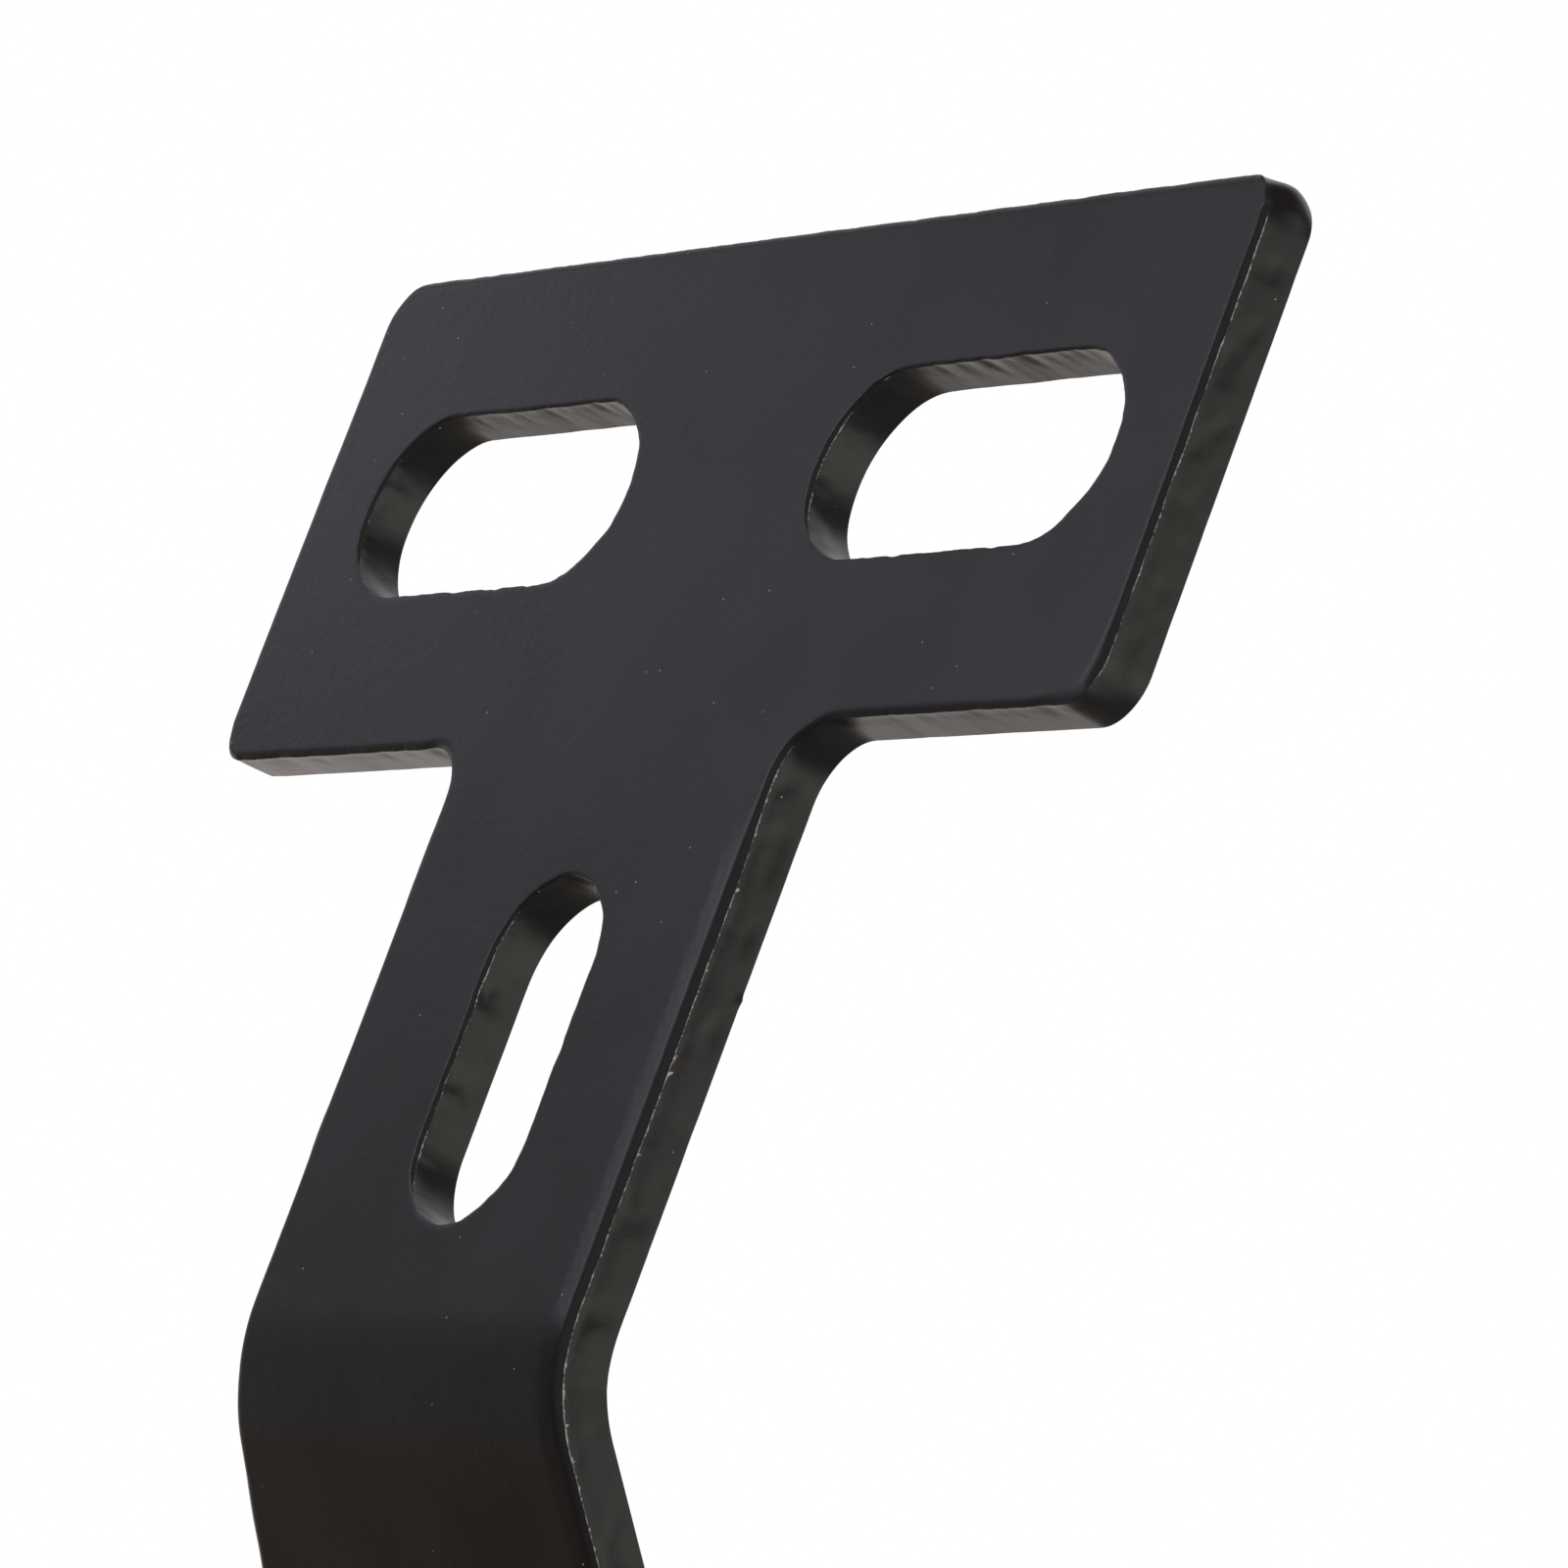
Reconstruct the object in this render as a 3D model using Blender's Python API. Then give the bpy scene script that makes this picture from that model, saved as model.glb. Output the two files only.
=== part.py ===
"""License plate bracket: one T-shaped piece of black coated sheet steel, punched and then folded.

The head stands upright in the XZ plane and faces -Y, with the origin at the middle of its front face.
The stem runs down from the head, and its lower end is folded back towards +Y into a short foot.
The blank is drawn flat, with its three slots, given its thickness and its rolled edge, and then folded.
"""

from math import cos, pi, radians, sin, tan

import bmesh
import bpy
from mathutils import Vector

MM = 0.001

# Sheet
sheet = 1.9 * MM                  # 14 gauge
edge_roll_width = 0.5 * MM        # the punch draws the front face's edge down over this width
edge_roll_depth = 0.18 * MM       # and by this much
ridge_turn = radians(30.0)        # the wall cuts the roll's quarter ellipse off this far along its curve
back_edge_break = 0.05 * MM       # the small chamfer left on the back edge

# Head, the cross bar of the T
head_width = 55.3 * MM
head_height = 19.7 * MM
head_corner_radius = 1.8 * MM
head_slot_length = 17.4 * MM
head_slot_width = 7.4 * MM
head_slot_spacing = 29.4 * MM     # from centre to centre, both at the head's mid height

# Stem
stem_width = 21.0 * MM
stem_length = 22.0 * MM           # from the head's lower edge to the line where the fold begins
junction_radius = 2.4 * MM        # the inside corner between an arm and the stem
stem_slot_length = 13.3 * MM
stem_slot_width = 6.6 * MM
stem_slot_drop = 12.3 * MM        # from the head's lower edge to the slot's centre

# Fold and foot
fold_inner_radius = 5.9 * MM
fold_angle = radians(38.0)
neutral_share = 0.5               # where in the thickness the sheet keeps its length in the fold
flare_start = 2.3 * MM            # from the fold line, measured on the flat blank
flare_angle = radians(4.7)        # each side leans out by this much below that
foot_length = 18.0 * MM           # the straight run past the fold
foot_corner_radius = 2.4 * MM

# Fineness of the round shapes
corner_steps = 8
slot_end_steps = 18
roll_steps = 4
fold_steps = 14

FRONT = Vector((0, -1, 0))
ACROSS = Vector((1, 0, 0))
UP = Vector((0, 0, 1))

# Places worked out from the sizes above
head_bottom = -head_height / 2
fold_line = head_bottom - stem_length
neutral_radius = fold_inner_radius + neutral_share * sheet
fold_run = neutral_radius * fold_angle
foot_end = fold_line - fold_run - foot_length
foot_half_width = stem_width / 2 + (fold_line - flare_start - foot_end) * tan(flare_angle)


def clear_scene():
    for item in list(bpy.data.objects):
        bpy.data.objects.remove(item, do_unlink=True)


def black_coating():
    """Satin black coating on steel."""
    material = bpy.data.materials.new("satin_black_coating")
    material.use_nodes = True
    shader = material.node_tree.nodes["Principled BSDF"]
    shader.inputs["Base Color"].default_value = (0.016, 0.016, 0.017, 1.0)
    shader.inputs["Roughness"].default_value = 0.38
    shader.inputs["Metallic"].default_value = 0.0
    return material


def round_corner(bm, corner, radius, turn):
    """Round one corner of the flat outline; turn is the angle by which the outline changes direction."""
    bmesh.ops.bevel(bm, geom=[corner], offset=radius * tan(turn / 2), offset_type="OFFSET",
                    segments=corner_steps, profile=0.5, affect="VERTICES", material=-1)


def draw_outline(bm):
    """The T with its widening foot: one closed loop of edges in the plane of the front face."""
    right_side = (
        (head_width / 2, head_height / 2, head_corner_radius, pi / 2),
        (head_width / 2, head_bottom, head_corner_radius, pi / 2),
        (stem_width / 2, head_bottom, junction_radius, pi / 2),
        (stem_width / 2, fold_line - flare_start, 0.0, flare_angle),
        (foot_half_width, foot_end, foot_corner_radius, pi / 2 + flare_angle),
    )
    left_side = tuple((-x, z, radius, turn) for x, z, radius, turn in reversed(right_side))
    corners = [(bm.verts.new(ACROSS * x + UP * z), radius, turn)
               for x, z, radius, turn in right_side + left_side]
    face = bm.faces.new([corner for corner, _, _ in corners])
    for corner, radius, turn in corners:
        if radius > 0:
            round_corner(bm, corner, radius, turn)
    bmesh.ops.delete(bm, geom=bm.faces[:], context="FACES_ONLY")


def draw_slot(bm, centre, length, width, along):
    """A slot with full-round ends: two half circles spun round their centres and joined by straight runs."""
    beside = along.cross(FRONT)
    ends = []
    for side in (1, -1):
        middle = centre + along * side * (length - width) / 2
        first = bm.verts.new(middle + beside * side * width / 2)
        arc = bmesh.ops.spin(bm, geom=[first], cent=middle, axis=FRONT, angle=pi, steps=slot_end_steps)
        last = [item for item in arc["geom_last"] if isinstance(item, bmesh.types.BMVert)][0]
        ends.append((first, last))
    for (_, last), (first, _) in zip(ends, ends[::-1]):
        bm.edges.new((last, first))


def draw_slots(bm):
    for side in (1, -1):
        draw_slot(bm, ACROSS * side * head_slot_spacing / 2, head_slot_length, head_slot_width, ACROSS)
    draw_slot(bm, UP * (head_bottom - stem_slot_drop), stem_slot_length, stem_slot_width, UP)


def thicken(bm):
    """Fill the drawing and give it the sheet's thickness, from y = 0 at the front to y = sheet at the back.

    The back edge gets a small chamfer. The front edge is rolled over: it leaves the wall at a crisp ridge
    and flattens towards the face along part of a quarter ellipse.
    """
    back = bmesh.ops.triangle_fill(bm, edges=bm.edges[:], use_beauty=True, normal=-FRONT)
    back = [item for item in back["geom"] if isinstance(item, bmesh.types.BMFace)]
    bmesh.ops.translate(bm, vec=-FRONT * (sheet - back_edge_break), verts=bm.verts[:])
    front = bmesh.ops.extrude_face_region(bm, geom=back, use_keep_orig=True)["geom"]
    front_verts = [item for item in front if isinstance(item, bmesh.types.BMVert)]
    front = [item for item in front if isinstance(item, bmesh.types.BMFace)]
    bmesh.ops.translate(bm, vec=FRONT * (sheet - back_edge_break - edge_roll_depth), verts=front_verts)
    bmesh.ops.recalc_face_normals(bm, faces=bm.faces[:])
    bmesh.ops.inset_region(bm, faces=back, thickness=back_edge_break, depth=back_edge_break,
                           use_boundary=True, use_even_offset=True)
    drawn_in, raised = 0.0, 0.0
    for step in range(1, roll_steps + 1):
        turn = ridge_turn + step / roll_steps * (pi / 2 - ridge_turn)
        next_in = edge_roll_width * (1 - cos(turn) / cos(ridge_turn))
        next_raised = edge_roll_depth * (sin(turn) - sin(ridge_turn)) / (1 - sin(ridge_turn))
        bmesh.ops.inset_region(bm, faces=front, thickness=next_in - drawn_in, depth=next_raised - raised,
                               use_boundary=True, use_even_offset=True)
        drawn_in, raised = next_in, next_raised


def fold(bm):
    """Cut the blank across the fold and lay it round the fold's axis, towards the back."""
    for step in range(fold_steps + 1):
        height = fold_line - fold_run * step / fold_steps
        geometry = bm.verts[:] + bm.edges[:] + bm.faces[:]
        bmesh.ops.bisect_plane(bm, geom=geometry, dist=0.001 * MM, plane_co=UP * height, plane_no=UP)
    axis_y = sheet + fold_inner_radius
    for vert in bm.verts:
        below = fold_line - vert.co.z
        if below <= 0:
            continue
        radius = axis_y - vert.co.y
        angle = min(below, fold_run) / neutral_radius
        past = max(0.0, below - fold_run)
        vert.co.y = axis_y - radius * cos(angle) + past * sin(angle)
        vert.co.z = fold_line - radius * sin(angle) - past * cos(angle)


def bracket_plate():
    bm = bmesh.new()
    draw_outline(bm)
    draw_slots(bm)
    thicken(bm)
    fold(bm)
    bmesh.ops.remove_doubles(bm, verts=bm.verts[:], dist=0.002 * MM)
    bmesh.ops.recalc_face_normals(bm, faces=bm.faces[:])
    mesh = bpy.data.meshes.new("bracket_plate")
    bm.to_mesh(mesh)
    bm.free()
    mesh.shade_smooth()
    mesh.set_sharp_from_angle(angle=radians(35))
    mesh.materials.append(black_coating())
    plate = bpy.data.objects.new("bracket_plate", mesh)
    bpy.context.scene.collection.objects.link(plate)
    return plate


clear_scene()
bracket_plate()
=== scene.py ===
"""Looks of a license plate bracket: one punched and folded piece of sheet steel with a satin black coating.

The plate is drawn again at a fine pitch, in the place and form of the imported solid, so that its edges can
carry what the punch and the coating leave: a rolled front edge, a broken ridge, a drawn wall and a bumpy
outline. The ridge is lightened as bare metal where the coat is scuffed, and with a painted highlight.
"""

from math import ceil, cos, pi, radians, sin, sqrt, tan
import bmesh
import bpy
from mathutils import Matrix, Vector, noise


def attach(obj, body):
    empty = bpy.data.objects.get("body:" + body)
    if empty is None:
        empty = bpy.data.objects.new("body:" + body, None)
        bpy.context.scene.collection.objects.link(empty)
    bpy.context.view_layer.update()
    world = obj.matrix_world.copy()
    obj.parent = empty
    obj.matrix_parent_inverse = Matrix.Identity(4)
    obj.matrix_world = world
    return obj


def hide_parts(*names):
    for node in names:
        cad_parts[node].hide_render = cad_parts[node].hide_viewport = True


MM = 0.001
FRONT = Vector((0, -1, 0))
ACROSS = Vector((1, 0, 0))
UP = Vector((0, 0, 1))

# Sheet
SHEET = 1.9 * MM
ROLL_DEPTH = 0.18 * MM
BACK_BREAK = 0.02 * MM

# Head
HEAD_WIDTH = 55.3 * MM
HEAD_HEIGHT = 19.7 * MM
HEAD_CORNER = 1.8 * MM
FULLER_CORNER = 1.6 * MM          # the lower left one
HEAD_SLOT_LENGTH = 17.4 * MM
HEAD_SLOT_WIDTH = 7.4 * MM
HEAD_SLOT_SPACING = 29.4 * MM

# Stem, fold and foot
STEM_WIDTH = 21.0 * MM
STEM_LENGTH = 22.0 * MM
JUNCTION = 2.4 * MM
STEM_SLOT_LENGTH = 13.3 * MM
STEM_SLOT_WIDTH = 6.6 * MM
STEM_SLOT_DROP = 12.3 * MM
FOLD_RADIUS = 5.9 * MM
FOLD_ANGLE = radians(38.0)
FLARE_START = 2.3 * MM
FLARE_ANGLE = radians(4.7)
FOOT_LENGTH = 17.86 * MM
FOOT_CORNER = 2.4 * MM

HEAD_BOTTOM = -HEAD_HEIGHT / 2
FOLD_LINE = HEAD_BOTTOM - STEM_LENGTH
NEUTRAL_RADIUS = FOLD_RADIUS + SHEET / 2
FOLD_RUN = NEUTRAL_RADIUS * FOLD_ANGLE
FOOT_END = FOLD_LINE - FOLD_RUN - FOOT_LENGTH
FOOT_HALF_WIDTH = STEM_WIDTH / 2 + (FOLD_LINE - FLARE_START - FOOT_END) * tan(FLARE_ANGLE)

# Fineness of the plate
EDGE_PITCH = 0.16 * MM
CORNER_STEPS = 14
SLOT_END_STEPS = 64
WALL_ROWS = 12
RING_WIDTH = 1.5 * MM             # the band of the front face that can carry the roll
RING_ROWS = 14
RING_GRADING = 1.4                # the rows lie closer together towards the ridge
BACK_RING = 0.25 * MM             # a flat ring that keeps the back's shading flat
FOLD_STEPS = 30

# What the punch leaves: the roll from the face down to the ridge, tight round the head and the slots
ROLL_WIDTH = 0.46 * MM
SLOT_ROLL_WIDTH = 0.25 * MM
SLOT_TOP_ROLL_WIDTH = 0.18 * MM
CORNER_ROLL_WIDTH = 1.1 * MM      # it widens round the head's lower right corner
CORNER_ROLL_REACH = (1.2 * MM, 4.0 * MM)
ROLL_POWER = 2.8
STEM_ROLL_WIDTH = 0.62 * MM       # the right side of the stem and the foot is rolled deeper
STEM_ROLL_MORE = 0.12 * MM        # by this much
STEM_ROLL_START = (1.2 * MM, 6.0 * MM)      # from the head's lower edge
STEM_SIDE = (STEM_SLOT_WIDTH / 2 + 2.0 * MM, STEM_SLOT_WIDTH / 2 + 3.0 * MM)
STEM_SLOPE_WIDTH = 1.48 * MM      # after a gentle slope
STEM_SLOPE_DEPTH = 0.10 * MM
STEM_SLOPE_POWER = 1.2

# Shares by which the roll is shallower than ROLL_DEPTH
LIFT_WANDER = 0.6                 # everywhere but on the stem, in places of this size
LIFT_WANDER_SIZE = 3 * MM
CORNER_LIFT = 0.9                 # at the head's upper right corner
SLOT_LIFT = 0.25
SLOT_TOP_LIFT = 0.65
SLOT_FLOOR_LIFT = 0.9
ARM_LIFT = 0.35                   # at the arms' lower edges

# The outline's own shape
TAPER = 0.23 * MM                 # the right walls lean in towards the ridge
STEM_TAPER = 0.28 * MM
RIDGE_CORNER = 1.85 * MM          # the ridge runs round the head's corners on this radius
RIDGE_CORNER_REACH = 0.4          # and the wall follows it over this share of its depth
CORNER_FLAT = 0.10 * MM           # it is cut flatter at the upper right one
LOWER_LEFT_RIDGE = 1.5 * MM       # the lower left corner is full, more so towards the back
LOWER_LEFT_BACK = 1.3 * MM
UPPER_RIGHT_MIDDLE = 1.2 * MM     # the upper right one is full halfway down its wall
UPPER_RIGHT_BACK = 1.95 * MM
FULL_TO = 0.55                    # most of all here; from there it goes on to the last radius
LEFT_ARM = (11 * MM, 13.5 * MM)   # from the middle to where the left arm's lower edge is wholly out of true
LEFT_ARM_BAND = 2.4 * MM
LEFT_ARM_DROOP = 0.085 * MM       # it lies lower by this much
LEFT_ARM_FLARE = 0.16 * MM        # and its ridge lower again by this
LEFT_ARM_LIFT = 0.15
LEFT_ARM_ROLL_WIDTH = 0.25 * MM
HEAD_LEAN = 0.16 * MM             # the head's left side leans in towards its upper corner
HEAD_LEAN_REACH = (-5 * MM, 8 * MM)
UNDERCUT = 0.012 * MM             # the wall lies behind the ridge, which stands out as a burr

# Bumps, marks and dents
RIDGE_WANDER = 0.035 * MM         # the ridge rises and falls in waves of these sizes
RIDGE_WAVES = (1.1 * MM, 0.25 * MM)
OUTLINE_BUMP = 0.04 * MM
BUMP_SIZES = (1.7 * MM, 0.45 * MM, 0.2 * MM)
SLOT_MARK_DEPTH = 0.11 * MM       # marks that the punch draws down the slots' walls
WALL_MARK_DEPTH = 0.003 * MM      # and down the outer walls
LOWER_MARK_DEPTH = 0.035 * MM     # and down those that face down
MARK_SIZE = 1.2 * MM
MARK_SLANT = -0.3
MARK_CHANGE = 0.12                # how quickly a mark changes on its way down the wall
MARK_REACH = 0.6 * MM             # the face's edge follows the marks over this width
DENT_DEPTH = 0.09 * MM
DENT_SIZE = 1.2 * MM
BURR_PLACE = Vector((STEM_WIDTH / 2, SHEET, -19.6 * MM))
BURR_SIZE = 0.32 * MM
BURR_OUT = 0.10 * MM

# A wall begins to count as facing one way at the first share of its outward direction, and does so wholly
# at the second
FACES_RIGHT = (0.5, 0.9)
FACES_LEFT = (0.3, 0.9)
FACES_DOWN = (0.3, 0.9)
AT_RIDGE = 0.01                   # share of the wall's depth above which a point lies on the ridge

# Camera
CAMERA_AIM = Vector((1.049, 6.317, -9.025)) * MM
CAMERA_DISTANCE = 344.8 * MM
CAMERA_AZIMUTH = radians(58.593)
CAMERA_LOOKS_UP = radians(15.180)
CAMERA_ROLL = radians(20.297)
SENSOR = 36.0
LENS = 223.74
SHIFT_X = -0.00125

# Stage
FLOOR_HEIGHT = -0.16
FLOOR_GLOW = 0.7                  # the share of the floor's white that only the camera sees


def linear(code):
    """An sRGB hex colour as linear RGBA."""
    channels = [int(code[i:i + 2], 16) / 255 for i in (1, 3, 5)]
    return tuple(c / 12.92 if c <= 0.04045 else ((c + 0.055) / 1.055) ** 2.4 for c in channels) + (1.0,)


def add(tree, kind, inputs=(), **settings):
    """Add a node with its settings, its values and its links."""
    new = tree.nodes.new(kind)
    for name, value in settings.items():
        setattr(new, name, value)
    for socket, value in dict(inputs).items():
        if isinstance(value, bpy.types.NodeSocket):
            tree.links.new(value, new.inputs[socket])
        else:
            new.inputs[socket].default_value = value
    return new


def combine(tree, operation, *values):
    """A math node's result."""
    return add(tree, "ShaderNodeMath", dict(enumerate(values)), operation=operation).outputs[0]


def tint(tree, factor, below, above):
    """One colour below, the other above, mixed by the factor."""
    return add(tree, "ShaderNodeMix", {"Factor": factor, "A": below, "B": above},
               data_type="RGBA").outputs["Result"]


def empty_material(name):
    material = bpy.data.materials.new(name)
    material.use_nodes = True
    material.node_tree.nodes.clear()
    return material, material.node_tree


def verts_of(geometry):
    return [item for item in geometry if isinstance(item, bmesh.types.BMVert)]


def faces_of(geometry):
    return [item for item in geometry if isinstance(item, bmesh.types.BMFace)]


def draw_outline(bm):
    """The T with its widening foot, as one flat loop with round corners."""
    right_side = (
        (HEAD_WIDTH / 2, HEAD_HEIGHT / 2, HEAD_CORNER, pi / 2),
        (HEAD_WIDTH / 2, HEAD_BOTTOM, HEAD_CORNER, pi / 2),
        (STEM_WIDTH / 2, HEAD_BOTTOM, JUNCTION, pi / 2),
        (STEM_WIDTH / 2, FOLD_LINE - FLARE_START, 0.0, FLARE_ANGLE),
        (FOOT_HALF_WIDTH, FOOT_END, FOOT_CORNER, pi / 2 + FLARE_ANGLE),
    )
    left_side = [(-x, z, radius, turn) for x, z, radius, turn in reversed(right_side)]
    left_side[3] = left_side[3][:2] + (FULLER_CORNER, pi / 2)
    corners = [(bm.verts.new(ACROSS * x + UP * z), radius, turn)
               for x, z, radius, turn in list(right_side) + left_side]
    bm.faces.new([corner for corner, _, _ in corners])
    for corner, radius, turn in corners:
        if radius > 0:
            bmesh.ops.bevel(bm, geom=[corner], offset=radius * tan(turn / 2), offset_type="OFFSET",
                            segments=CORNER_STEPS, profile=0.5, affect="VERTICES", material=-1)
    bmesh.ops.delete(bm, geom=bm.faces[:], context="FACES_ONLY")


def draw_slot(bm, centre, length, width, along):
    """A slot with full-round ends: two half circles spun round their centres and joined by straight runs."""
    beside = along.cross(FRONT)
    ends = []
    for side in (1, -1):
        middle = centre + along * side * (length - width) / 2
        first = bm.verts.new(middle + beside * side * width / 2)
        arc = bmesh.ops.spin(bm, geom=[first], cent=middle, axis=FRONT, angle=pi, steps=SLOT_END_STEPS)
        ends.append((first, verts_of(arc["geom_last"])[0]))
    for (_, last), (first, _) in zip(ends, ends[::-1]):
        bm.edges.new((last, first))


def draw_blank(bm):
    """Outline and slots, with a point at every fold cut and at least one every EDGE_PITCH."""
    draw_outline(bm)
    for side in (1, -1):
        draw_slot(bm, ACROSS * side * HEAD_SLOT_SPACING / 2, HEAD_SLOT_LENGTH, HEAD_SLOT_WIDTH, ACROSS)
    draw_slot(bm, UP * (HEAD_BOTTOM - STEM_SLOT_DROP), STEM_SLOT_LENGTH, STEM_SLOT_WIDTH, UP)
    cut_for_fold(bm)
    for edge in bm.edges[:]:
        pieces = ceil(edge.calc_length() / EDGE_PITCH)
        if pieces > 1:
            bmesh.ops.subdivide_edges(bm, edges=[edge], cuts=pieces - 1)


def cut_for_fold(bm):
    for step in range(FOLD_STEPS + 1):
        height = FOLD_LINE - FOLD_RUN * step / FOLD_STEPS
        bmesh.ops.bisect_plane(bm, geom=bm.verts[:] + bm.edges[:] + bm.faces[:], dist=0.01 * MM,
                               plane_co=UP * height, plane_no=UP)


def thicken(bm):
    """Fill the drawing, give it its thickness and its rows down the wall, and bevel the front's outer band.

    Until the edges are worked, that band slopes evenly from the ridge up to the face.
    """
    back = faces_of(bmesh.ops.triangle_fill(bm, edges=bm.edges[:], use_beauty=True, normal=-FRONT)["geom"])
    bmesh.ops.translate(bm, vec=-FRONT * (SHEET - BACK_BREAK), verts=bm.verts[:])
    front = bmesh.ops.extrude_face_region(bm, geom=back, use_keep_orig=True)["geom"]
    front_verts, front = set(verts_of(front)), faces_of(front)
    bmesh.ops.translate(bm, vec=FRONT * (SHEET - BACK_BREAK - ROLL_DEPTH), verts=list(front_verts))
    across_wall = [edge for edge in bm.edges
                   if (edge.verts[0] in front_verts) != (edge.verts[1] in front_verts)]
    bmesh.ops.subdivide_edges(bm, edges=across_wall, cuts=WALL_ROWS - 1, use_grid_fill=True)
    bmesh.ops.recalc_face_normals(bm, faces=bm.faces[:])
    for width, depth in ((BACK_BREAK, BACK_BREAK), (BACK_RING, 0.0)):
        bmesh.ops.inset_region(bm, faces=back, thickness=width, depth=depth,
                               use_boundary=True, use_even_offset=True)
    band = set(bmesh.ops.inset_region(bm, faces=front, thickness=RING_WIDTH, depth=ROLL_DEPTH,
                                      use_boundary=True, use_even_offset=True)["faces"])
    across_band = {edge for face in band for edge in face.edges if band.issuperset(edge.link_faces)}
    bmesh.ops.subdivide_edges(bm, edges=list(across_band), cuts=RING_ROWS - 1, use_grid_fill=True)


def fade(value, start, full):
    """0 at start, 1 at full, smooth between."""
    share = min(1.0, max(0.0, (value - start) / (full - start)))
    return share * share * (3 - 2 * share)


def mix(one, other, share):
    return one + (other - one) * share


def cloud(place, size, layer=0):
    """Smooth noise with forms of one size; every layer is another cut through it."""
    return noise.noise(place / size + UP * layer)


def corner_place(place, radius):
    """Where a point lies from the centre of the head's nearest corner arc, or None away from the corners."""
    beyond_x = abs(place.x) - (HEAD_WIDTH / 2 - radius)
    beyond_z = abs(place.z) - (HEAD_HEIGHT / 2 - radius)
    if beyond_x <= 0 or beyond_z <= 0 or place.z < HEAD_BOTTOM - 0.5 * MM:
        return None
    return Vector((beyond_x * (1 if place.x > 0 else -1), 0, beyond_z * (1 if place.z > 0 else -1)))


def corner_share(place):
    """1 halfway round the head's upper right corner, 0 at both of its ends and everywhere else."""
    from_centre = corner_place(place, RIDGE_CORNER)
    if from_centre is None or place.x < 0 or place.z < 0:
        return 0.0
    return (2 * from_centre.x * from_centre.z / from_centre.length_squared) ** 2


def corner_pull(place, inwards):
    """How the ridge and the band beside it are drawn in at three corners of the head."""
    from_centre = corner_place(place, RIDGE_CORNER)
    if from_centre is None or place.x < 0 and place.z < 0:
        return Vector((0, 0, 0))
    excess = max(0.0, from_centre.length - (RIDGE_CORNER - inwards))
    excess += CORNER_FLAT * corner_share(place) * (1 - inwards / RING_WIDTH)
    return -excess * from_centre.normalized()


def corner_push(place, drawn, radius):
    """How the wall goes out at a corner drawn on one radius, so that it runs on a smaller one."""
    from_centre = corner_place(place, drawn)
    if from_centre is None:
        return Vector((0, 0, 0))
    way = from_centre.normalized()
    less, more = sorted((abs(way.x), abs(way.z)))
    tip = drawn - radius
    reach = drawn / more
    if reach * less > tip:
        reach = (less + more) * tip + sqrt(((less + more) * tip) ** 2 - 2 * tip ** 2 + radius ** 2)
    return (reach - drawn) * way


def corner_wall(place, down):
    """How the wall is fuller or rounder than drawn at the head's lower left and upper right corners."""
    if place.x < 0 and place.z < 0:
        return corner_push(place, FULLER_CORNER, mix(LOWER_LEFT_RIDGE, LOWER_LEFT_BACK, down))
    if place.x < 0 or place.z < 0:
        return Vector((0, 0, 0))
    to_back = max(0.0, (down - FULL_TO) / (1 - FULL_TO))
    push = corner_push(place, HEAD_CORNER, UPPER_RIGHT_MIDDLE)
    push *= fade(down, 0.05, FULL_TO) * (1 - to_back ** 1.5)
    from_centre = corner_place(place, UPPER_RIGHT_BACK)
    if from_centre is None:
        return push
    excess = max(0.0, from_centre.length - UPPER_RIGHT_BACK)
    return push - from_centre.normalized() * excess * to_back ** 2


def at_stem_side(place, outward):
    """1 on the right side of the stem and the foot, 0 everywhere else."""
    return (fade(place.x, *STEM_SIDE) * fade(HEAD_BOTTOM - place.z, *STEM_ROLL_START)
            * fade(outward.x, *FACES_RIGHT))


def at_left_arm(place, facing_down):
    """1 along the left arm's lower edge, 0 everywhere else."""
    if abs(place.z - HEAD_BOTTOM) > LEFT_ARM_BAND:
        return 0.0
    return facing_down * fade(-place.x, *LEFT_ARM)


def in_slot(place):
    """Whether a point of the wall or the ridge belongs to one of the three slots."""
    if place.z < HEAD_BOTTOM - 1.0 * MM:
        return abs(place.x) < STEM_SLOT_WIDTH
    return (abs(abs(place.x) - HEAD_SLOT_SPACING / 2) < 0.6 * HEAD_SLOT_LENGTH
            and abs(place.z) < 0.6 * HEAD_SLOT_WIDTH)


def outline_bump(flat, outward, down, slot):
    """Small bumps of the outline, coarser down the wall, and the lean of the head's left side."""
    coarse, middle, fine = (cloud(flat, size) for size in BUMP_SIZES)
    wander = 0.7 * coarse + (1 - 0.8 * fade(down, 0.0, 0.2)) * (0.45 * middle + 0.25 * fine)
    if slot:
        return OUTLINE_BUMP * wander
    return (OUTLINE_BUMP * min(0.0, wander)
            - HEAD_LEAN * fade(-outward.x, *FACES_LEFT) * fade(flat.z, *HEAD_LEAN_REACH))


def roll_lift(flat, outward, slot, stem, left_arm):
    """The share by which the roll is shallower here than ROLL_DEPTH."""
    facing_down = fade(-outward.z, *FACES_DOWN)
    lift = max(CORNER_LIFT * fade(corner_share(flat), 0.0, 0.5),
               LIFT_WANDER * cloud(flat, LIFT_WANDER_SIZE) * (1 - stem))
    if slot:
        return max(lift, mix(SLOT_LIFT, SLOT_TOP_LIFT, facing_down),
                   SLOT_FLOOR_LIFT * fade(outward.z, 0.1, 0.7))
    return mix(max(lift, ARM_LIFT * facing_down), LEFT_ARM_LIFT, left_arm)


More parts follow.
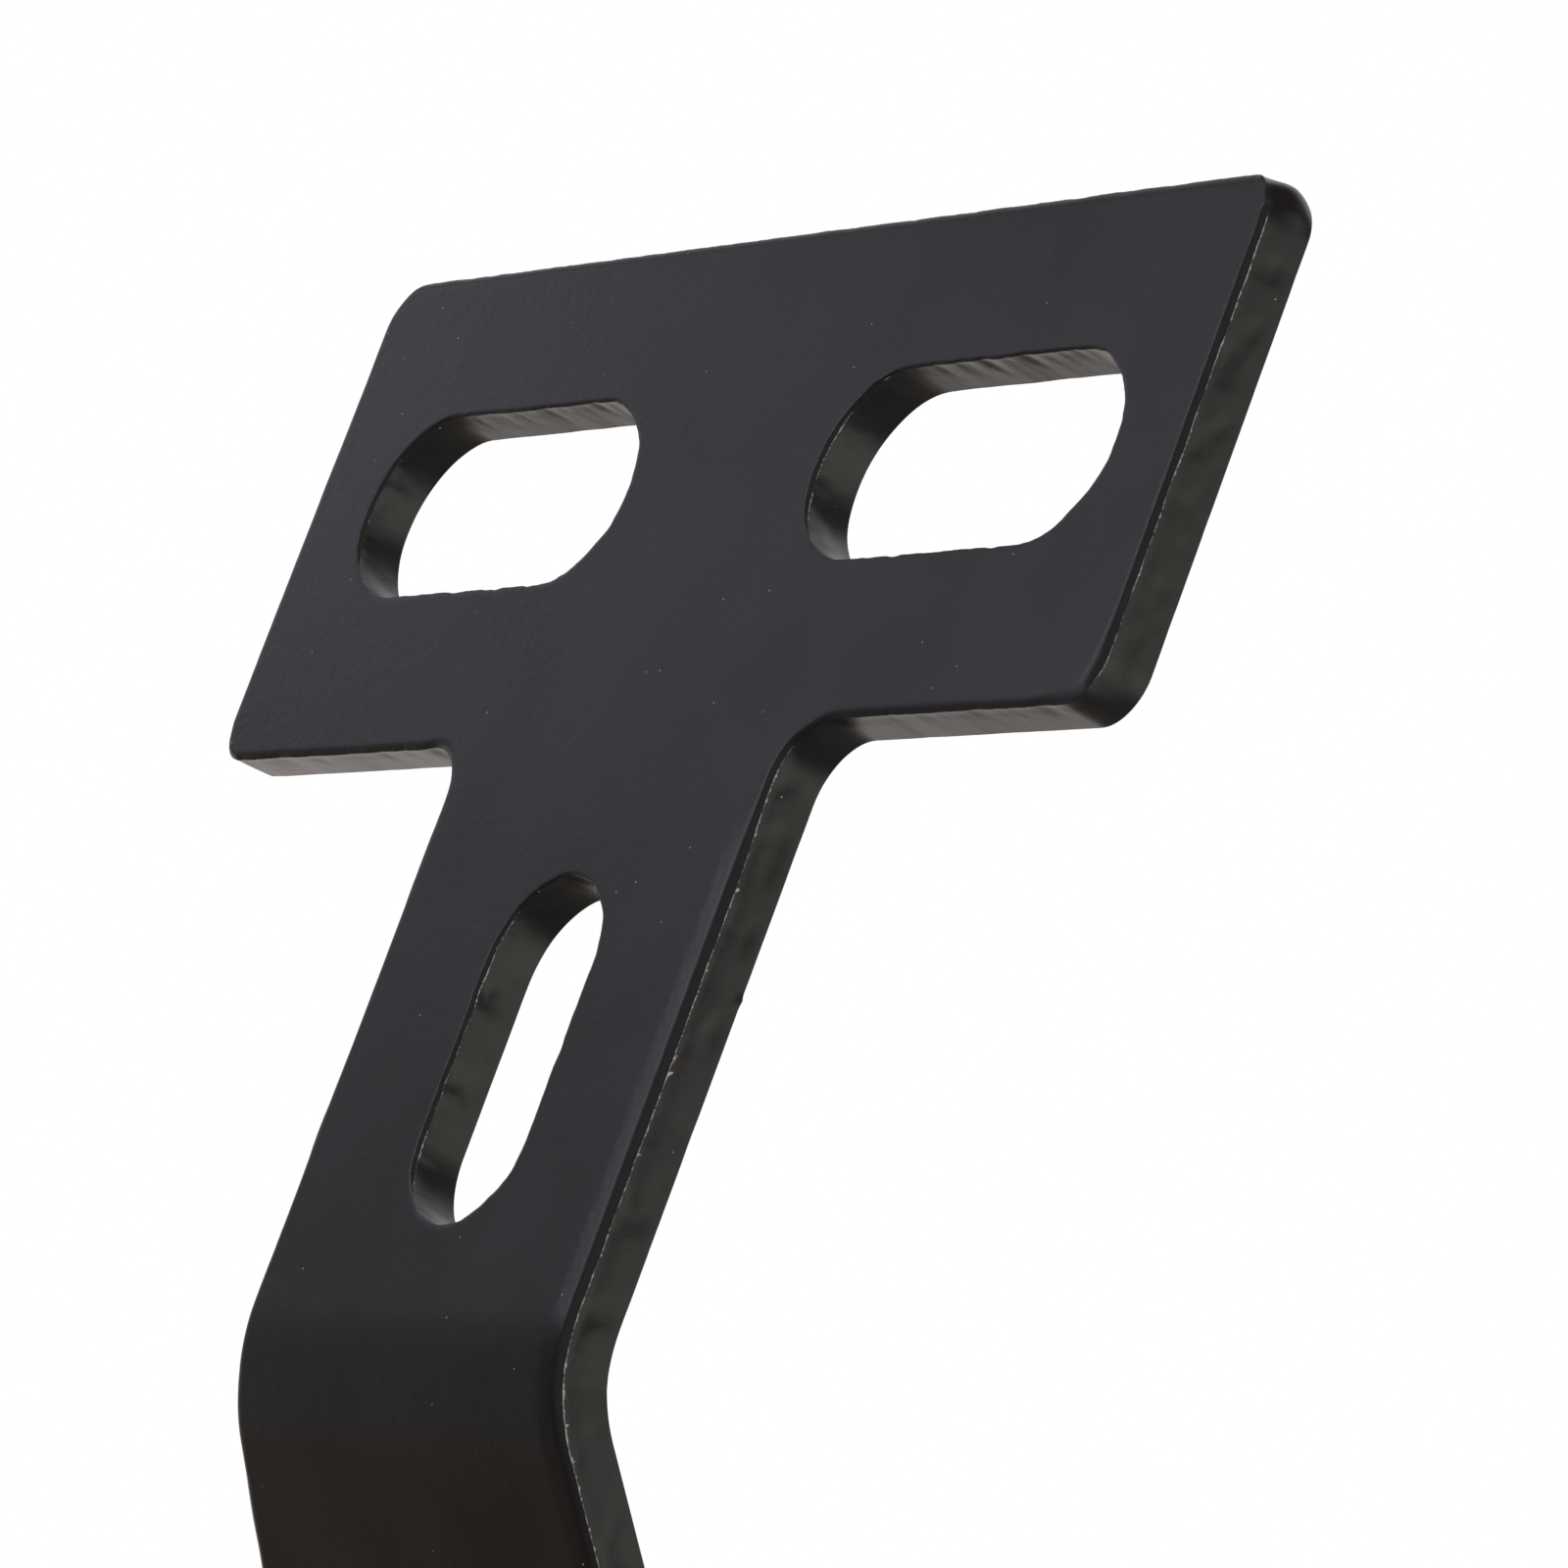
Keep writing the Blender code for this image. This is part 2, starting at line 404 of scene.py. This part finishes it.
def roll_width(flat, facing_down, slot, stem, left_arm):
    width = mix(SLOT_ROLL_WIDTH, SLOT_TOP_ROLL_WIDTH, facing_down) if slot else ROLL_WIDTH
    width = mix(mix(width, STEM_ROLL_WIDTH, stem), LEFT_ARM_ROLL_WIDTH, left_arm)
    lower_right = ACROSS * HEAD_WIDTH / 2 + UP * HEAD_BOTTOM
    return mix(CORNER_ROLL_WIDTH, width, fade((flat - lower_right).length, *CORNER_ROLL_REACH))


def roll_height(inwards, width, stem):
    """How far the rolled front lies behind the face at a distance inwards from the ridge."""
    depth = ROLL_DEPTH + (STEM_ROLL_MORE - STEM_SLOPE_DEPTH) * stem
    slope = STEM_SLOPE_DEPTH * stem * max(0.0, 1 - inwards / STEM_SLOPE_WIDTH) ** STEM_SLOPE_POWER
    return depth * max(0.0, 1 - inwards / width) ** ROLL_POWER + slope


def drawn_marks(place, slot, facing_down):
    """The marks that the punch draws down the wall; the band in front of the wall has those of the ridge."""
    level = max(place.y, ROLL_DEPTH)
    along = Vector((place.x + MARK_SLANT * level, MARK_CHANGE * level, place.z))
    depth = SLOT_MARK_DEPTH if slot else mix(WALL_MARK_DEPTH, LOWER_MARK_DEPTH, facing_down)
    return depth * min(0.0, cloud(along, MARK_SIZE) + 0.3 * cloud(along, 0.4 * MARK_SIZE))


def ridge_rub_and_glint(place, flat, outward, down, slot, stem):
    """How light the ridge is painted: scuffed bare metal plus a painted highlight, strongest where the ridge
    faces sideways, and in spots where it faces down.
    """
    share = (0.25 + 0.75 * fade(abs(outward.x), 0.55, 0.9)) * (0.93 if slot else 1.0)
    share *= 0.8 if slot and place.x < -STEM_SLOT_WIDTH else 1.0
    spots = fade(cloud(flat, 0.9 * MM, layer=5), 0.25, 0.4)
    share = max(share, 0.95 * fade(-outward.z, *FACES_DOWN) * spots)
    flake = 1.0 if down < AT_RIDGE else (0.9 + 0.9 * stem) * cloud(flat, 0.3 * MM, layer=11)
    return share * flake * (1 - min(1.0, corner_pull(place, 0.0).length / (0.2 * MM)))


def work_edges(bm):
    """Shape the roll, the ridge and the wall, and note how light the ridge is: scuffed bare metal and a
    painted highlight.
    """
    # the ridge's lightness: scuffed bare metal, plus a painted highlight where the ridge catches the light
    rubbed_and_glint = bm.verts.layers.float.new("rubbed_and_glint")
    bm.normal_update()
    moved = []
    for vert in bm.verts:
        place = vert.co
        outward = Vector((vert.normal.x, 0, vert.normal.z))
        if outward.length < 0.02:
            continue
        outward.normalize()
        flat = Vector((place.x, 0, place.z))
        down = (place.y - ROLL_DEPTH) / (SHEET - ROLL_DEPTH)
        facing_down = fade(-outward.z, *FACES_DOWN)
        slot, stem, left_arm = in_slot(place), at_stem_side(place, outward), at_left_arm(place, facing_down)
        bump = outline_bump(flat, outward, down, slot)
        marks = drawn_marks(place, slot, facing_down)
        lift = roll_lift(flat, outward, slot, stem, left_arm)
        taper = 0.0 if slot else fade(outward.x, *FACES_RIGHT) * mix(TAPER, STEM_TAPER, stem)
        droop = left_arm * (LEFT_ARM_DROOP + LEFT_ARM_FLARE * (1 - max(0.0, down)))
        to_ridge = 1 - place.y / ROLL_DEPTH
        if to_ridge > 0.001:
            in_even = to_ridge * RING_WIDTH
            inwards = RING_WIDTH * to_ridge ** RING_GRADING
            beside_ridge = max(0.0, 1 - inwards / RING_WIDTH)
            width = roll_width(flat, facing_down, slot, stem, left_arm)
            height = roll_height(inwards, width, stem) * (1 - lift)
            move = outward * (in_even - inwards - taper * beside_ridge
                              + (bump + marks) * max(0.0, 1 - inwards / max(width, MARK_REACH)))
            move += (corner_wall(place, 0.0) - UP * droop) * beside_ridge
            move += corner_pull(place, in_even) - FRONT * (height - place.y)
            moved.append((vert, move))
            continue
        dents = DENT_DEPTH * outward.x ** 2 * min(0.0, cloud(place, DENT_SIZE) - 0.05)
        out = bump + marks * (1 - fade(down, 0.1, 0.7))
        out += dents * fade(down, 0.0, 0.2) * (1 - fade(down, 0.5, 0.95))
        out -= UNDERCUT * fade(down, 0.0, 0.06) * (1 - fade(down, 0.08, 0.4))
        out -= taper * max(0.0, 1 - down) ** 1.1
        out += BURR_OUT * max(0.0, 1 - (place - BURR_PLACE).length / BURR_SIZE) ** 2
        move = outward * out + corner_pull(place, 0.0) * max(0.0, 1 - down / RIDGE_CORNER_REACH) ** 2
        move += corner_wall(place, down) - UP * droop
        move -= FRONT * (STEM_ROLL_MORE * stem - ROLL_DEPTH * lift) * max(0.0, 1 - down / 0.5)
        if down < AT_RIDGE:
            long_wave, short_wave = RIDGE_WAVES
            waves = cloud(flat, long_wave, layer=7) + 0.5 * cloud(flat, short_wave, layer=3)
            move -= FRONT * RIDGE_WANDER * (1 - max(0.0, lift)) * waves
        if down < 1.5 / WALL_ROWS:
            # painted highlight on the ridge, over scuffed bare metal
            vert[rubbed_and_glint] = ridge_rub_and_glint(place, flat, outward, down, slot, stem)
        moved.append((vert, move))
    mark_sharp(bm)
    for vert, move in moved:
        vert.co += move
        vert.co.x = max(-HEAD_WIDTH / 2, min(vert.co.x, HEAD_WIDTH / 2))
        vert.co.z = min(vert.co.z, HEAD_HEIGHT / 2)
        vert.co.y = max(vert.co.y, 0.0)


def mark_sharp(bm):
    """The ridge and the back's small chamfer are crisp; every other edge is shaded smooth."""
    ridge, back_rim = ({vert for vert in bm.verts if abs(vert.co.y - level) < 0.001 * MM}
                       for level in (ROLL_DEPTH, SHEET - BACK_BREAK))
    for edge in bm.edges:
        beside_rim = any(back_rim.intersection(face.verts) for face in edge.link_faces)
        on_back = min(vert.co.y for vert in edge.verts) > SHEET - 0.001 * MM
        edge.smooth = not (ridge.issuperset(edge.verts) or back_rim.issuperset(edge.verts)
                           or beside_rim and on_back)


def fold(bm):
    """Cut the plate across the fold and lay it round the fold's axis, towards the back."""
    cut_for_fold(bm)
    axis_y = SHEET + FOLD_RADIUS
    for vert in bm.verts:
        below = FOLD_LINE - vert.co.z
        if below <= 0:
            continue
        radius = axis_y - vert.co.y
        angle = min(below, FOLD_RUN) / NEUTRAL_RADIUS
        past = max(0.0, below - FOLD_RUN)
        vert.co.y = axis_y - radius * cos(angle) + past * sin(angle)
        vert.co.z = FOLD_LINE - radius * sin(angle) - past * cos(angle)


def coated_plate():
    bm = bmesh.new()
    draw_blank(bm)
    thicken(bm)
    work_edges(bm)
    fold(bm)
    bmesh.ops.recalc_face_normals(bm, faces=bm.faces[:])
    for face in bm.faces:
        face.smooth = True
    mesh = bpy.data.meshes.new("coated_plate")
    bm.to_mesh(mesh)
    bm.free()
    mesh.materials.append(black_coating())
    plate = bpy.data.objects.new("coated_plate", mesh)
    bpy.context.scene.collection.objects.link(plate)
    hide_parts("bracket_plate")
    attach(plate, "root")
    return plate


def black_coating():
    """Satin black powder coating on punched steel: a soft sheen, a fine orange peel and a ridge lightened as
    scuffed bare metal and by a painted highlight.
    """
    material, tree = empty_material("satin_black_coating")
    place = add(tree, "ShaderNodeTexCoord").outputs["Object"]

    def clouds(scale, detail=2.0):
        return add(tree, "ShaderNodeTexNoise",
                   {"Vector": place, "Scale": scale, "Detail": detail}).outputs["Fac"]

    def spread(value, start, full, low=0.0, high=1.0):
        return add(tree, "ShaderNodeMapRange", {"Value": value, "From Min": start, "From Max": full,
                                                "To Min": low, "To Max": high}).outputs["Result"]

    colour = tint(tree, spread(clouds(160.0, 3.0), 0.35, 0.65), linear("#1d1e20"), linear("#232427"))
    # the ridge goes towards light grey: scuffed bare metal, plus a painted highlight where it catches the
    # light
    ridge = add(tree, "ShaderNodeAttribute", attribute_name="rubbed_and_glint").outputs["Fac"]
    patchy = combine(tree, "ADD", clouds(8000.0), clouds(700.0))
    rub_and_glint = combine(tree, "MULTIPLY_ADD", patchy, 0.8, ridge)
    colour = tint(tree, spread(rub_and_glint, 1.58, 1.82), colour, linear("#e2e0de"))
    dust = add(tree, "ShaderNodeTexVoronoi", {"Vector": place, "Scale": 1150.0})
    grain = spread(dust.outputs["Distance"], 0.03, 0.05, 1.0, 0.0)
    chance = add(tree, "ShaderNodeSeparateColor", {"Color": dust.outputs["Color"]}).outputs["Red"]
    few = spread(combine(tree, "ADD", chance, clouds(90.0)), 1.17, 1.18)
    colour = tint(tree, combine(tree, "MULTIPLY", grain, few), colour, linear("#d2d1cf"))
    rough = spread(clouds(160.0, 3.0), 0.3, 0.7, 0.27, 0.33)
    peel = combine(tree, "ADD", clouds(2600.0), clouds(700.0))
    bump = add(tree, "ShaderNodeBump", {"Height": peel, "Strength": 0.4, "Distance": 0.02 * MM})
    shader = add(tree, "ShaderNodeBsdfPrincipled", {"Base Color": colour, "Roughness": rough,
                                                    "Normal": bump.outputs["Normal"], "IOR": 1.5})
    add(tree, "ShaderNodeOutputMaterial", {"Surface": shader.outputs["BSDF"]})
    return material


def pale_floor():
    """A pale matte floor below the camera; only the camera sees it paler than its light makes it."""
    material, tree = empty_material("pale_floor")
    white = linear("#f2f2f1")
    matte = add(tree, "ShaderNodeBsdfDiffuse", {"Color": white}).outputs["BSDF"]
    glow = add(tree, "ShaderNodeEmission", {"Color": white}).outputs["Emission"]
    seen = add(tree, "ShaderNodeLightPath").outputs["Is Camera Ray"]
    share = combine(tree, "MULTIPLY", seen, FLOOR_GLOW)
    both = add(tree, "ShaderNodeMixShader", {0: share, 1: matte, 2: glow})
    add(tree, "ShaderNodeOutputMaterial", {"Surface": both.outputs["Shader"]})
    bm = bmesh.new()
    bmesh.ops.create_grid(bm, x_segments=1, y_segments=1, size=3.0)
    bmesh.ops.translate(bm, vec=UP * FLOOR_HEIGHT, verts=bm.verts[:])
    mesh = bpy.data.meshes.new("floor")
    bm.to_mesh(mesh)
    bm.free()
    mesh.materials.append(material)
    floor = bpy.data.objects.new("floor", mesh)
    bpy.context.scene.collection.objects.link(floor)
    floor.visible_glossy = False


def room_light():
    """A dim warm room with a white sweep to the left and behind; the camera sees plain white.

    Soft patches stand to the right and behind (warm), above and behind, in front and above, and to the left
    in front (dark blue), and the back of the room is a little brighter than its front.
    """
    world = bpy.data.worlds.new("studio_room")
    world.use_nodes = True
    tree = world.node_tree
    tree.nodes.clear()
    way = add(tree, "ShaderNodeTexCoord").outputs["Generated"]

    def ramp(direction, start, full, kind="SMOOTHSTEP"):
        toward = add(tree, "ShaderNodeVectorMath", {0: way, 1: Vector(direction)}, operation="DOT_PRODUCT")
        return add(tree, "ShaderNodeMapRange", {"Value": toward.outputs["Value"], "From Min": start,
                                                "From Max": full}, interpolation_type=kind).outputs["Result"]

    def patch(direction, inner, outer):
        """Full within the inner angle round a direction, in degrees, and gone at the outer one."""
        return ramp(Vector(direction).normalized(), cos(radians(outer)), cos(radians(inner)))

    sweep = combine(tree, "MULTIPLY", ramp((0, 0, 1), -0.55, -0.12), ramp((-1, 0, 0), -0.1, 0.4))
    sweep = combine(tree, "MULTIPLY", ramp((0, 0.93, 0.37), -0.56, 0.0, "LINEAR"), sweep)
    sweep_colour = tint(tree, ramp((0, 0, 1), -0.15, 0.2), linear("#e9e1de"), linear("#8f929f"))
    total = linear("#5a4735")
    for share, colour in ((sweep, sweep_colour),
                          (patch((0.87, 0.42, -0.08), 5, 42), linear("#fffaf0")),
                          (patch((-0.25, 0.5, 0.83), 15, 35), linear("#c4c4c6")),
                          (patch((0.5, -0.84, 0.2), 25, 65), linear("#869197")),
                          (ramp((0, 1, 0), 0.0, 0.4), linear("#575e5e")),
                          (patch((-0.82, -0.56, -0.02), 12, 34), linear("#00354a"))):
        total = add(tree, "ShaderNodeMix", {"Factor": share, "A": total, "B": colour}, data_type="RGBA",
                    blend_type="ADD").outputs["Result"]
    seen = add(tree, "ShaderNodeLightPath").outputs["Is Camera Ray"]
    colour = tint(tree, seen, total, (1, 1, 1, 1))
    background = add(tree, "ShaderNodeBackground", {"Color": colour, "Strength": 1.0})
    add(tree, "ShaderNodeOutputWorld", {"Surface": background.outputs["Background"]})
    bpy.context.scene.world = world


def soft_lamp(name, place, size, brightness, code):
    """A square soft box aimed at the bracket; brightness is what its face measures."""
    light = bpy.data.lights.new(name, "AREA")
    light.size = size
    light.energy = brightness * pi * size ** 2
    light.color = linear(code)[:3]
    lamp = bpy.data.objects.new(name, light)
    way = Vector((0, 0, -0.02)) - Vector(place)
    lamp.matrix_world = Matrix.Translation(Vector(place)) @ way.to_track_quat("-Z", "Y").to_matrix().to_4x4()
    lamp.visible_camera = False
    bpy.context.scene.collection.objects.link(lamp)


def camera():
    """The photograph's view: a long lens, from the right, from below and tilted."""
    data = bpy.data.cameras.new("camera")
    data.sensor_width = SENSOR
    data.sensor_fit = "HORIZONTAL"
    data.lens = LENS
    data.shift_x = SHIFT_X
    data.clip_start = 0.01
    item = bpy.data.objects.new("camera", data)
    turn = (Matrix.Rotation(CAMERA_AZIMUTH, 4, "Z") @ Matrix.Rotation(pi / 2 + CAMERA_LOOKS_UP, 4, "X")
            @ Matrix.Rotation(CAMERA_ROLL, 4, "Z"))
    item.matrix_world = Matrix.Translation(CAMERA_AIM) @ turn @ Matrix.Translation((0, 0, CAMERA_DISTANCE))
    bpy.context.scene.collection.objects.link(item)
    bpy.context.scene.camera = item


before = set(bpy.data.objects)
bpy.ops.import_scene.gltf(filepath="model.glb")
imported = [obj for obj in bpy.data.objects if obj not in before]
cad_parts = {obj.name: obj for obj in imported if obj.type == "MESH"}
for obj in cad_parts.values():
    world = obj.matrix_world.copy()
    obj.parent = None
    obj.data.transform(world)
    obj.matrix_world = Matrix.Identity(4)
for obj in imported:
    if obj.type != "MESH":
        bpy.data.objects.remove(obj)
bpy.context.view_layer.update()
camera()
coated_plate()
pale_floor()
room_light()
soft_lamp("front_soft_box", (-0.376, -0.436, 0.141), 0.16, 1.95, "#ebebfa")
soft_lamp("left_soft_box", (-0.262, -0.092, 0.085), 0.06, 0.66, "#ebebfa")
bpy.context.scene.view_settings.view_transform = "Standard"
